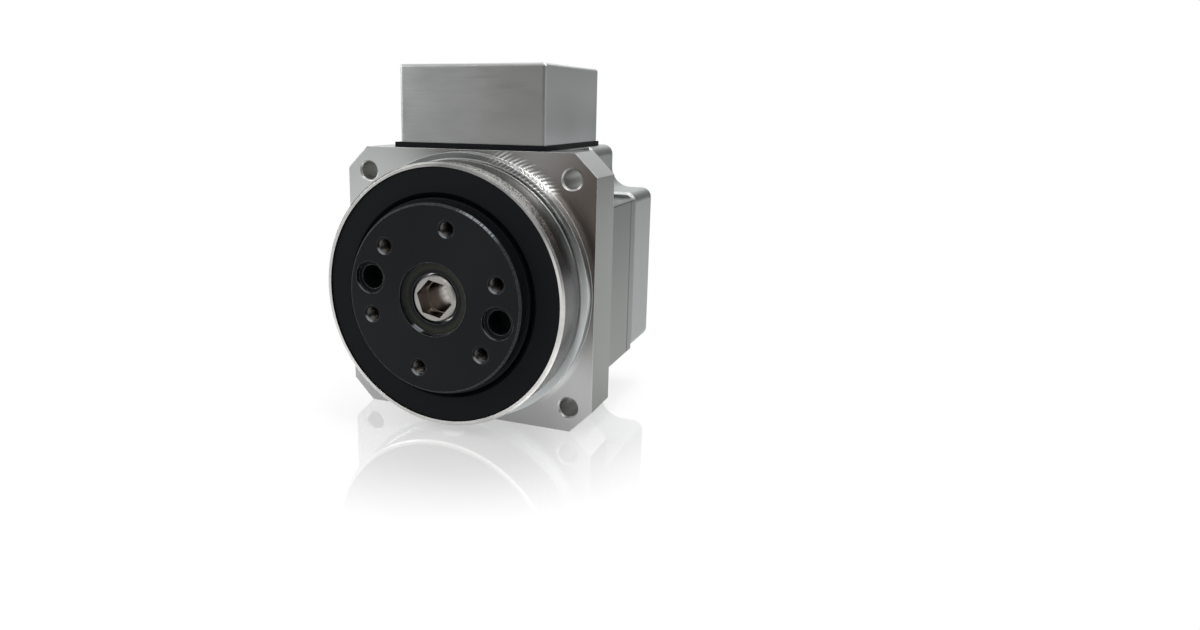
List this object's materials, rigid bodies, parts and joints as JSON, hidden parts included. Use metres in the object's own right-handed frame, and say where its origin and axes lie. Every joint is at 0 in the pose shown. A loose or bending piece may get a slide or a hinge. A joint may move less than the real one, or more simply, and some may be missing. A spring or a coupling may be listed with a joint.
{
  "type": "robot joint actuator",
  "caption": "Compact hollow-shaft robot joint: square flange housing, seal-ringed black output disc with tapped holes, and a box of drive electronics on top.",
  "frame": {"origin": "centre of the square flange's front face, on the turning axis", "axes": "-Y out of the output face along the turning axis, +Z towards the drive box, +X to the right when seen from the output side"},
  "size_m": [0.05, 0.0476, 0.0651],
  "materials": {
    "machined_aluminium": "machined, with fine turning and milling marks",
    "brushed_aluminium": "brushed",
    "cast_aluminium": "fine blasted satin",
    "bearing_steel": "ground",
    "black_steel": "black oxide",
    "screw_steel": "blackened",
    "bright_steel": "polished",
    "seal_rubber": "matt",
    "copper": "enamelled copper wire",
    "lamination": "stacked sheet",
    "magnet": "nickel plated",
    "circuit_board": "solder resist",
    "black_plastic": "moulded",
    "can_metal": "drawn can",
    "gold": "plated",
    "encoder_plastic": "smooth"
  },
  "bodies": {
    "housing": {"main_housing": "machined_aluminium", "bearing_outer_ring": "machined_aluminium", "bearing_plug": "bearing_steel", "bearing_plug_pin": "bearing_steel", "output_seal": "seal_rubber", "circular_spline": "bearing_steel", "ring_screws": "screw_steel", "housing_screws": "screw_steel", "rear_bearing_outer": "bearing_steel", "stator_core": "lamination", "stator_windings": "copper", "motor_leads": "copper", "rear_cover": "cast_aluminium", "rear_cover_screws": "screw_steel", "end_plate": "machined_aluminium", "end_plate_screws": "screw_steel", "encoder_board": "circuit_board", "encoder_screws": "screw_steel", "encoder_reader": "black_plastic", "drive_cover": "brushed_aluminium", "drive_cover_screws": "screw_steel", "drive_gasket": "seal_rubber", "drive_board": "circuit_board", "drive_standoffs": "gold", "drive_transistors": "black_plastic", "drive_capacitors": "can_metal", "power_socket": "black_plastic", "data_socket": "black_plastic", "socket_pins": "gold"},
    "output": {"output_flange": "black_steel", "flexspline": "bearing_steel", "flexspline_clamp": "bearing_steel", "flexspline_screws": "screw_steel", "front_bearing_outer": "bearing_steel"},
    "rotor": {"hollow_shaft": "bright_steel", "wave_generator_cam": "bearing_steel", "wave_bearing_outer": "bearing_steel", "wave_bearing_inner": "bearing_steel", "wave_bearing_rollers": "bearing_steel", "shaft_circlip": "screw_steel", "front_spacer": "machined_aluminium", "middle_spacer": "machined_aluminium", "rear_spacer": "machined_aluminium", "front_bearing_inner": "bearing_steel", "rear_bearing_inner": "bearing_steel", "rotor_hub": "bearing_steel", "rotor_magnets": "magnet", "encoder_disc": "encoder_plastic"},
    "roller_set": {"bearing_rollers": "bearing_steel"},
    "front_balls": {"front_bearing_balls": "bearing_steel"},
    "rear_balls": {"rear_bearing_balls": "bearing_steel"}
  },
  "joints": [
    {"name": "rotor_turn", "type": "hinge", "parent": "housing", "child": "rotor", "pos_m": [0, 0, 0], "axis": [0, 1, 0], "continuous": true, "deforming": ["flexspline"]},
    {"name": "output_turn", "type": "hinge", "parent": "housing", "child": "output", "pos_m": [0, 0, 0], "axis": [0, 1, 0], "continuous": true},
    {"name": "roller_orbit", "type": "hinge", "parent": "housing", "child": "roller_set", "pos_m": [0, 0, 0], "axis": [0, 1, 0], "continuous": true},
    {"name": "front_ball_orbit", "type": "hinge", "parent": "housing", "child": "front_balls", "pos_m": [0, 0, 0], "axis": [0, 1, 0], "continuous": true},
    {"name": "rear_ball_orbit", "type": "hinge", "parent": "housing", "child": "rear_balls", "pos_m": [0, 0, 0], "axis": [0, 1, 0], "continuous": true}
  ],
  "couplings": [
    {"joint": "output_turn", "follows": "rotor_turn", "ratio": -0.033333},
    {"joint": "roller_orbit", "follows": "rotor_turn", "ratio": -0.015608},
    {"joint": "front_ball_orbit", "follows": "rotor_turn", "ratio": 0.42133},
    {"joint": "rear_ball_orbit", "follows": "rotor_turn", "ratio": 0.41818}
  ]
}
